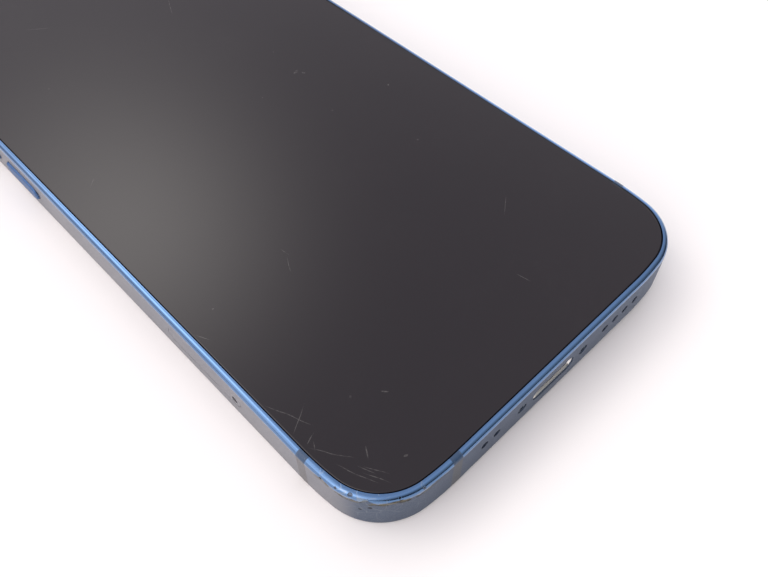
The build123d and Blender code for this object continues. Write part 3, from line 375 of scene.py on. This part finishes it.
def black_seal():
    """Foamed black adhesive: soft, matte, with lint caught along it."""
    made, tree, shader, place = start_material("foam_adhesive_black", Roughness=0.85)
    lint = add(tree, "TexNoise", place, 1 / (0.3 * MM), 3.0)
    put(tree, shader,
        Base_Color=add(tree, "Mix", add(tree, "MapRange", lint, 0.5, 0.75), linear("#060607"),
                       linear("#1b1b1d"), data_type="RGBA"),
        Roughness=add(tree, "MapRange", lint, 0.3, 0.7, 0.75, 0.95))
    put(tree, shader, Normal=add(tree, "Bump", None, 0.02 * MM, None, lint))
    return made


def lens_ring():
    """Anodised aluminium turned on a lathe: glossy, with fine rings round each lens."""
    made, tree, shader, place = start_material("turned_anodised_ring", Metallic=1.0, Roughness=0.18)
    low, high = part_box("camera_trim_rings")
    total = None
    for y in (low.y + (high.x - low.x) / 2, high.y - (high.x - low.x) / 2):
        centred = add(tree, "Mapping", place, ((low.x + high.x) / 2, y, 0), vector_type="TEXTURE")
        rings = add(tree, "TexWave", centred, 0.5 / (0.22 * MM), 0.4, result=1, wave_type="RINGS",
                    rings_direction="Z")
        side = add(tree, "SeparateXYZ", centred, result=1)
        side = add(tree, "Math", side, operation="ABSOLUTE")
        rings = add(tree, "Math", rings, add(tree, "MapRange", side, 5.9 * MM, 6.0 * MM, 1.0, 0.0),
                    operation="MULTIPLY")
        total = rings if total is None else add(tree, "Math", total, rings, operation="MAXIMUM")
    colour = add(tree, "Mix", total, linear("#3d5f80"), linear("#55799b"), data_type="RGBA")
    wear = hairlines(tree, place, 3 * MM, 0.05 * MM, 0.5)
    colour = add(tree, "Mix", add(tree, "Math", wear, 0.5, operation="MULTIPLY"), colour, linear("#a9b4bd"),
                 data_type="RGBA")
    put(tree, shader, Base_Color=colour, Roughness=add(tree, "MapRange", total, 0.0, 1.0, 0.13, 0.22))
    put(tree, shader, Normal=add(tree, "Bump", None, 0.003 * MM, None, total))
    return made


def sapphire():
    """Sapphire lens cover, lapped and coated: almost black and mirror-smooth, with a faint violet tint and
    dust specks."""
    made, tree, shader, place = start_material("coated_sapphire", Roughness=0.03, IOR=1.77)
    low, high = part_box("camera_cover_lenses")
    radius = (high.x - low.x) / 2
    total = None
    for y in (low.y + radius, high.y - radius):
        away = add(tree, "VectorMath", place, ((low.x + high.x) / 2, y, low.z), operation="DISTANCE")
        pupil = add(tree, "MapRange", away, 0.32 * radius, 0.38 * radius, 1.0, 0.0)
        rim = add(tree, "Math", add(tree, "MapRange", away, 0.50 * radius, 0.52 * radius),
                  add(tree, "MapRange", away, 0.60 * radius, 0.62 * radius, 1.0, 0.0), operation="MULTIPLY")
        here = add(tree, "Math", pupil, add(tree, "Math", rim, 0.35, operation="MULTIPLY"),
                   operation="MAXIMUM")
        total = here if total is None else add(tree, "Math", total, here, operation="MAXIMUM")
    colour = add(tree, "Mix", total, linear("#0a0b0d"), linear("#1d2038"), data_type="RGBA")
    dust = specks(tree, place, 1.6 * MM, 0.12 * MM, 0.25)
    colour = add(tree, "Mix", add(tree, "Math", dust, 0.5, operation="MULTIPLY"), colour, linear("#7d8288"),
                 data_type="RGBA")
    put(tree, shader, Base_Color=colour, Roughness=add(tree, "MapRange", dust, 0.0, 1.0, 0.03, 0.4))
    return made


def flash_diffuser():
    """Moulded acrylic with tiny concentric prisms over a yellow phosphor: creamy, ringed, softly glossy."""
    made, tree, shader, place = start_material("moulded_acrylic_diffuser", Roughness=0.2, IOR=1.49)
    low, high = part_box("flash_window")
    centred = add(tree, "Mapping", place, ((low.x + high.x) / 2, (low.y + high.y) / 2, 0),
                  vector_type="TEXTURE")
    prisms = add(tree, "TexWave", centred, 0.5 / (0.35 * MM), result=1, wave_type="RINGS",
                 rings_direction="Z")
    middle = add(tree, "MapRange", add(tree, "VectorMath", centred, operation="LENGTH"), 0.4 * MM, 1.5 * MM,
                 1.0, 0.0, interpolation_type="SMOOTHSTEP")
    colour = add(tree, "Mix", prisms, linear("#e9e2cf"), linear("#f6f1e2"), data_type="RGBA")
    colour = add(tree, "Mix", add(tree, "Math", middle, 0.6, operation="MULTIPLY"), colour, linear("#e6cf7a"),
                 data_type="RGBA")
    put(tree, shader, Base_Color=colour, Roughness=add(tree, "MapRange", prisms, 0.0, 1.0, 0.15, 0.3))
    put(tree, shader, Normal=add(tree, "Bump", None, 0.02 * MM, None, prisms))
    return made


def woven_mesh():
    """Stainless and polyester acoustic cloth: a dark plain weave with pin-prick gaps between its threads."""
    made, tree, shader, place = start_material("acoustic_weave", Roughness=0.6, Metallic=0.2)
    thread = 0.12 * MM                               # real thread 0.05 mm, drawn coarser to show
    waves = []
    for axis in (0, 2):
        along = add(tree, "SeparateXYZ", place, result=axis)
        turn = add(tree, "Math", along, math.pi / thread, operation="MULTIPLY")
        waves.append(add(tree, "Math", turn, operation="SINE"))
    weave = add(tree, "Math", *waves, operation="MULTIPLY")
    height = add(tree, "MapRange", weave, -1.0, 1.0)
    put(tree, shader,
        Base_Color=add(tree, "Mix", height, linear("#101216"), linear("#34373c"), data_type="RGBA"),
        Roughness=add(tree, "MapRange", height, 0.0, 1.0, 0.75, 0.45))
    put(tree, shader, Normal=add(tree, "Bump", None, 0.03 * MM, None, height))
    return made


# ---------------------------------------------------------------- materials of metal pieces
def worked_metal(name, base, pale, line_scale, line_size, rough_low, rough_high, mark_colour="#d9d9d6",
                 marks=0.4):
    """A bare or plated metal: lines left by rolling or machining, fine scratches, slight staining."""
    made, tree, shader, place = start_material(name, Metallic=1.0, Roughness=rough_low)
    stretched = add(tree, "Mapping", place, None, None, line_scale)
    lines = add(tree, "TexNoise", stretched, 1 / line_size, 3.0)
    stain = add(tree, "TexNoise", place, 1 / (6 * MM), 3.0, None, None, 0.6)
    colour = add(tree, "Mix", add(tree, "MapRange", lines, 0.3, 0.7), linear(base), linear(pale),
                 data_type="RGBA")
    colour = add(tree, "Mix", add(tree, "MapRange", stain, 0.55, 0.8, 0.0, 0.35), colour, linear(base),
                 data_type="RGBA")
    wear = add(tree, "Math", hairlines(tree, place, 3.5 * MM, 0.05 * MM, 0.4), marks, operation="MULTIPLY")
    colour = add(tree, "Mix", wear, colour, linear(mark_colour), data_type="RGBA")
    rough = add(tree, "Math", add(tree, "MapRange", lines, 0.3, 0.7, rough_low, rough_high),
                add(tree, "MapRange", stain, 0.5, 0.8, 0.0, 0.08))
    put(tree, shader, Base_Color=colour, Roughness=rough)
    grooves = add(tree, "Math", lines, wear, operation="SUBTRACT")
    put(tree, shader, Normal=add(tree, "Bump", None, 0.004 * MM, None, grooves))
    return made


def wound_copper():
    """Enamelled copper wire wound flat: bright orange-brown, a ridge for each turn, glossy enamel."""
    made, tree, shader, place = start_material("enamelled_copper_winding", Metallic=1.0, Roughness=0.25)
    low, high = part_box("charging_coil")
    centred = add(tree, "Mapping", place, ((low.x + high.x) / 2, (low.y + high.y) / 2, 0),
                  vector_type="TEXTURE")
    strands = add(tree, "TexWave", centred, 0.5 / (0.30 * MM), 0.2, result=1, wave_type="RINGS",
                  rings_direction="Z")
    patch = add(tree, "TexNoise", place, 1 / (3 * MM), 2.0)
    colour = add(tree, "Mix", strands, linear("#7d3f22"), linear("#c97a4b"), data_type="RGBA")
    colour = add(tree, "Mix", add(tree, "MapRange", patch, 0.5, 0.75, 0.0, 0.3), colour, linear("#8f4a2a"),
                 data_type="RGBA")
    put(tree, shader, Base_Color=colour, Roughness=add(tree, "MapRange", strands, 0.0, 1.0, 0.35, 0.2))
    put(tree, shader, Normal=add(tree, "Bump", None, 0.02 * MM, None, strands))
    return made


# ---------------------------------------------------------------- materials of moulded and laminated pieces
def moulded_plastic(name, base, pale, grain_size, rough_low, rough_high):
    """A moulded plastic: fine spark-eroded texture, slow shade changes, a few rub marks."""
    made, tree, shader, place = start_material(name, Roughness=rough_low)
    grain = add(tree, "TexNoise", place, 1 / grain_size, 3.0)
    flow = add(tree, "TexNoise", place, 1 / (9 * MM), 2.0, None, None, 0.8)
    colour = add(tree, "Mix", add(tree, "MapRange", flow, 0.35, 0.65), linear(base), linear(pale),
                 data_type="RGBA")
    rubs = hairlines(tree, place, 4 * MM, 0.05 * MM, 0.35)
    colour = add(tree, "Mix", add(tree, "Math", rubs, 0.25, operation="MULTIPLY"), colour, linear("#8a8a88"),
                 data_type="RGBA")
    put(tree, shader, Base_Color=colour,
        Roughness=add(tree, "MapRange", grain, 0.3, 0.7, rough_low, rough_high))
    put(tree, shader, Normal=add(tree, "Bump", None, 0.012 * MM, None, grain))
    return made


def battery_pouch():
    """Black laminate film pulled tight round the cell: satin, faintly wrinkled, with a pressed border."""
    made, tree, shader, place = start_material("laminate_pouch_black", Roughness=0.4)
    low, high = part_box("battery")
    wrinkles = add(tree, "TexNoise", place, 1 / (7 * MM), 3.0, None, None, 1.5)
    fine = add(tree, "TexNoise", place, 1 / (0.5 * MM), 2.0)
    sideways = add(tree, "SeparateXYZ", place)
    left_seam = add(tree, "MapRange", sideways, low.x + 1.6 * MM, low.x + 1.7 * MM, 1.0, 0.0)
    right_seam = add(tree, "MapRange", sideways, high.x - 1.7 * MM, high.x - 1.6 * MM)
    seam = add(tree, "Math", left_seam, right_seam, operation="MAXIMUM")
    colour = add(tree, "Mix", add(tree, "MapRange", wrinkles, 0.35, 0.65), linear("#131315"),
                 linear("#1d1d20"), data_type="RGBA")
    colour = add(tree, "Mix", add(tree, "Math", seam, 0.6, operation="MULTIPLY"), colour, linear("#2b2b2f"),
                 data_type="RGBA")
    put(tree, shader, Base_Color=colour, Roughness=add(tree, "MapRange", fine, 0.3, 0.7, 0.34, 0.5))
    put(tree, shader, Normal=add(tree, "Bump", None, 0.08 * MM, None, add(tree, "Math", wrinkles, seam)))
    return made


def circuit_board():
    """Fibreglass board or polyimide ribbon under dark solder mask: copper tracks show as faint raised lines,
    with small gold pads."""
    made, tree, shader, place = start_material("solder_masked_laminate", Roughness=0.35, IOR=1.55)
    tracks = None
    for turn in (0.0, math.radians(45)):
        turned = add(tree, "Mapping", place, None, (0, 0, turn))
        lanes = add(tree, "TexWave", turned, 0.5 / (0.8 * MM), result=1, wave_type="BANDS",
                    bands_direction="X")
        gate = add(tree, "MapRange", add(tree, "TexNoise", turned, 1 / (4.5 * MM), 0.0), 0.52, 0.54)
        lane = add(tree, "Math", add(tree, "MapRange", lanes, 0.70, 0.80), gate, operation="MULTIPLY")
        tracks = lane if tracks is None else add(tree, "Math", tracks, lane, operation="MAXIMUM")
    pads = specks(tree, place, 1.5 * MM, 0.55 * MM, 0.30)
    colour = add(tree, "Mix", tracks, linear("#0a131c"), linear("#16293a"), data_type="RGBA")
    colour = add(tree, "Mix", pads, colour, linear("#c9a45a"), data_type="RGBA")
    put(tree, shader, Base_Color=colour, Metallic=pads,
        Roughness=add(tree, "Mix", pads, add(tree, "MapRange", tracks, 0.0, 1.0, 0.4, 0.3), 0.28))
    raised = add(tree, "Math", tracks, pads, operation="MAXIMUM")
    put(tree, shader, Normal=add(tree, "Bump", None, 0.03 * MM, None, raised))
    return made


def make_materials():
    """One material for each of the record's slots."""
    along_x, along_y = (0.08, 1.0, 1.0), (1.0, 0.08, 1.0)
    return {
        "blue_anodised_aluminium": anodised_aluminium(),
        "band_plastic": band_plastic(),
        "cover_glass": front_glass(),
        "rear_glass": rear_glass(),
        "black_seal": black_seal(),
        "lens_ring": lens_ring(),
        "sapphire": sapphire(),
        "flash_diffuser": flash_diffuser(),
        "woven_mesh": woven_mesh(),
        "copper": wound_copper(),
        "battery_pouch": battery_pouch(),
        "circuit_board": circuit_board(),
        # drawn and tumbled shell: bright, with a soft shine
        "port_shell": worked_metal("tumbled_stainless_steel", "#e6e4e0", "#f3f1ee", along_x, 0.3 * MM, 0.22,
                                   0.32),
        # rolled and stamped sheet: long grain, satin shine
        "stainless_steel": worked_metal("stamped_stainless_steel", "#8f8d89", "#b4b1ab", along_y, 0.25 * MM,
                                        0.24, 0.36),
        # milled plate: broad cutter lines, pale, matte
        "plain_aluminium": worked_metal("milled_aluminium", "#a9abae", "#c2c4c6", along_x, 0.5 * MM, 0.32,
                                        0.42),
        # plated contacts: bright, even gold
        "gold_contact": worked_metal("gold_plated_contact", "#b98f45", "#d9b36a", along_y, 0.15 * MM, 0.18,
                                     0.26),
        # sintered magnets, nickel plated: smooth, slightly warm mirror
        "magnet_nickel": worked_metal("nickel_plated_magnet", "#98958d", "#b5b2a9", along_x, 0.4 * MM, 0.14,
                                      0.24),
        # pressed and sintered heavy metal: dull, grainy, dark
        "tungsten": worked_metal("sintered_tungsten", "#55534f", "#6f6c68", (1.0, 1.0, 1.0), 0.12 * MM, 0.42,
                                 0.58),
        # turned and blued screw steel: fine turning lines, blue-grey
        "screw_steel": worked_metal("blued_screw_steel", "#39485a", "#6f8296", (1.0, 0.15, 1.0), 0.12 * MM,
                                    0.22, 0.34, "#b7c2cc"),
        # switched-off emissive panel: near-black, glossy film
        "display_panel": moulded_plastic("display_laminate_black", "#050507", "#09090c", 0.3 * MM, 0.10,
                                         0.16),
        "camera_black": moulded_plastic("moulded_camera_black", "#0b0b0d", "#141417", 0.12 * MM, 0.30, 0.45),
        "moulded_black": moulded_plastic("liquid_crystal_polymer_black", "#101012", "#1a1a1d", 0.15 * MM,
                                         0.42, 0.58),
        "card_plastic": moulded_plastic("moulded_card_white", "#dcdcd6", "#e6e6e1", 0.20 * MM, 0.38, 0.48),
    }


def dress_nodes(materials):
    """Gives every CAD node its finished material."""
    slot_of = {part["node"]: part["material_slot"] for part in frame["record"]["subparts"]}
    slot_of["charging_port_shell"] = "port_shell"    # brighter than the stamped shields of the same steel
    for name, shown in frame["nodes"].items():
        for held in shown.material_slots:
            held.material = materials[slot_of[name]]


# ---------------------------------------------------------------- camera, floor and light
def add_camera():
    """A camera above the lower left corner, turned so that the phone runs up to the left."""
    right, up, back = (0.7184, -0.6956, -0.0054), (0.5659, 0.5800, 0.5860), (-0.4045, -0.4241, 0.8103)
    data = bpy.data.cameras.new("camera")
    data.lens = 36.53
    data.sensor_width = 36.0
    data.clip_start = 0.005
    camera = bpy.data.objects.new("camera", data)
    turn = Matrix((right, up, back)).transposed()
    camera.matrix_world = Matrix.Translation((-0.05093, -0.08692, 0.09407)) @ turn.to_4x4()
    scene.collection.objects.link(camera)
    scene.camera = camera


def add_floor():
    """A pale table top. The phone rests on its lower left corner and on the edges of its two lens rings."""
    rings_low, rings_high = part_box("camera_trim_rings")
    ring_width = rings_high.x - rings_low.x
    corner = Vector((RAIL_LOW.x + 2.7 * MM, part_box("rail_lower_left_corner")[0].y + 2.7 * MM, 0))
    near_ring = Vector((rings_low.x + 0.4 * MM, rings_low.y + 0.32 * ring_width, rings_low.z))
    far_ring = Vector((rings_low.x + 0.4 * MM, rings_high.y - 0.68 * ring_width, rings_low.z))
    normal = (near_ring - corner).cross(far_ring - corner).normalized()
    if normal.z < 0:
        normal = -normal
    half = 2.5
    bpy.ops.mesh.primitive_plane_add(size=2 * half, location=(0, 0, 0))
    floor = bpy.context.object
    floor.name = "table_top"
    turn = Vector((0, 0, 1)).rotation_difference(normal).to_matrix().to_4x4()
    floor.matrix_world = Matrix.Translation(corner - normal * 0.02 * MM) @ turn
    made, tree, shader, place = start_material("matte_white_laminate", Roughness=0.7)
    flow = add(tree, "TexNoise", place, 1 / 0.2, 2.0)
    put(tree, shader,
        Base_Color=add(tree, "Mix", add(tree, "MapRange", flow, 0.3, 0.7), linear("#f8f8f8"),
                       linear("#fcfcfb"), data_type="RGBA"))
    floor.data.materials.append(made)


# soft lights as broad spots on the sky: direction, how tight the spot is, brightness
SOFT_LIGHTS = (
    ((0.194, 0.652, 0.733), 69.0, 2.16, "#fffaf4"),
    ((0.945, 0.297, 0.135), 16.0, 2.0, "#ffffff"),
    ((-0.32, 0.58, 0.75), 30.0, 3.2, "#fff9f2"),
    ((-0.88, -0.06, 0.48), 7.0, 2.2, "#fff0e6"),
    ((0.32, -0.66, 0.68), 6.0, 0.50, "#ffffff"),
)


def add_sky():
    """Soft light with a few broad brighter places like softboxes.

    It is dark beyond the lower end of the phone, and dims towards the horizon all round.
    """
    world = bpy.data.worlds.new("studio")
    scene.world = world
    world.use_nodes = True
    tree = world.node_tree
    tree.nodes.clear()
    ray = add(tree, "TexCoord")
    ray = add(tree, "VectorMath", ray, operation="NORMALIZE")

    def towards(direction):
        return add(tree, "VectorMath", ray, Vector(direction).normalized(), operation="DOT_PRODUCT")

    total = add(tree, "Mix",
                add(tree, "MapRange", towards((-0.30, 0.70, 0.65)), -0.35, 0.45, 0.0, 1.0,
                    interpolation_type="SMOOTHSTEP"), linear("#33363c"), linear("#eae5ec"), data_type="RGBA")
    horizon = add(tree, "MapRange", add(tree, "SeparateXYZ", ray, result=2), 0.0, 0.42, 0.40, 1.0,
                  interpolation_type="SMOOTHSTEP")
    total = add(tree, "VectorMath", total, horizon, operation="SCALE")
    for direction, tightness, brightness, colour in SOFT_LIGHTS:
        facing = add(tree, "Math", towards(direction), 0.0, operation="MAXIMUM")
        spot = add(tree, "Math", add(tree, "Math", facing, tightness, operation="POWER"), brightness,
                   operation="MULTIPLY")
        glow = add(tree, "VectorMath", linear(colour)[:3], spot, operation="SCALE")
        total = add(tree, "VectorMath", total, glow, operation="ADD")
    shine = add(tree, "Background", total, 1.0)
    add(tree, "OutputWorld", shine)


dress_nodes(make_materials())
add_camera()
add_floor()
add_sky()
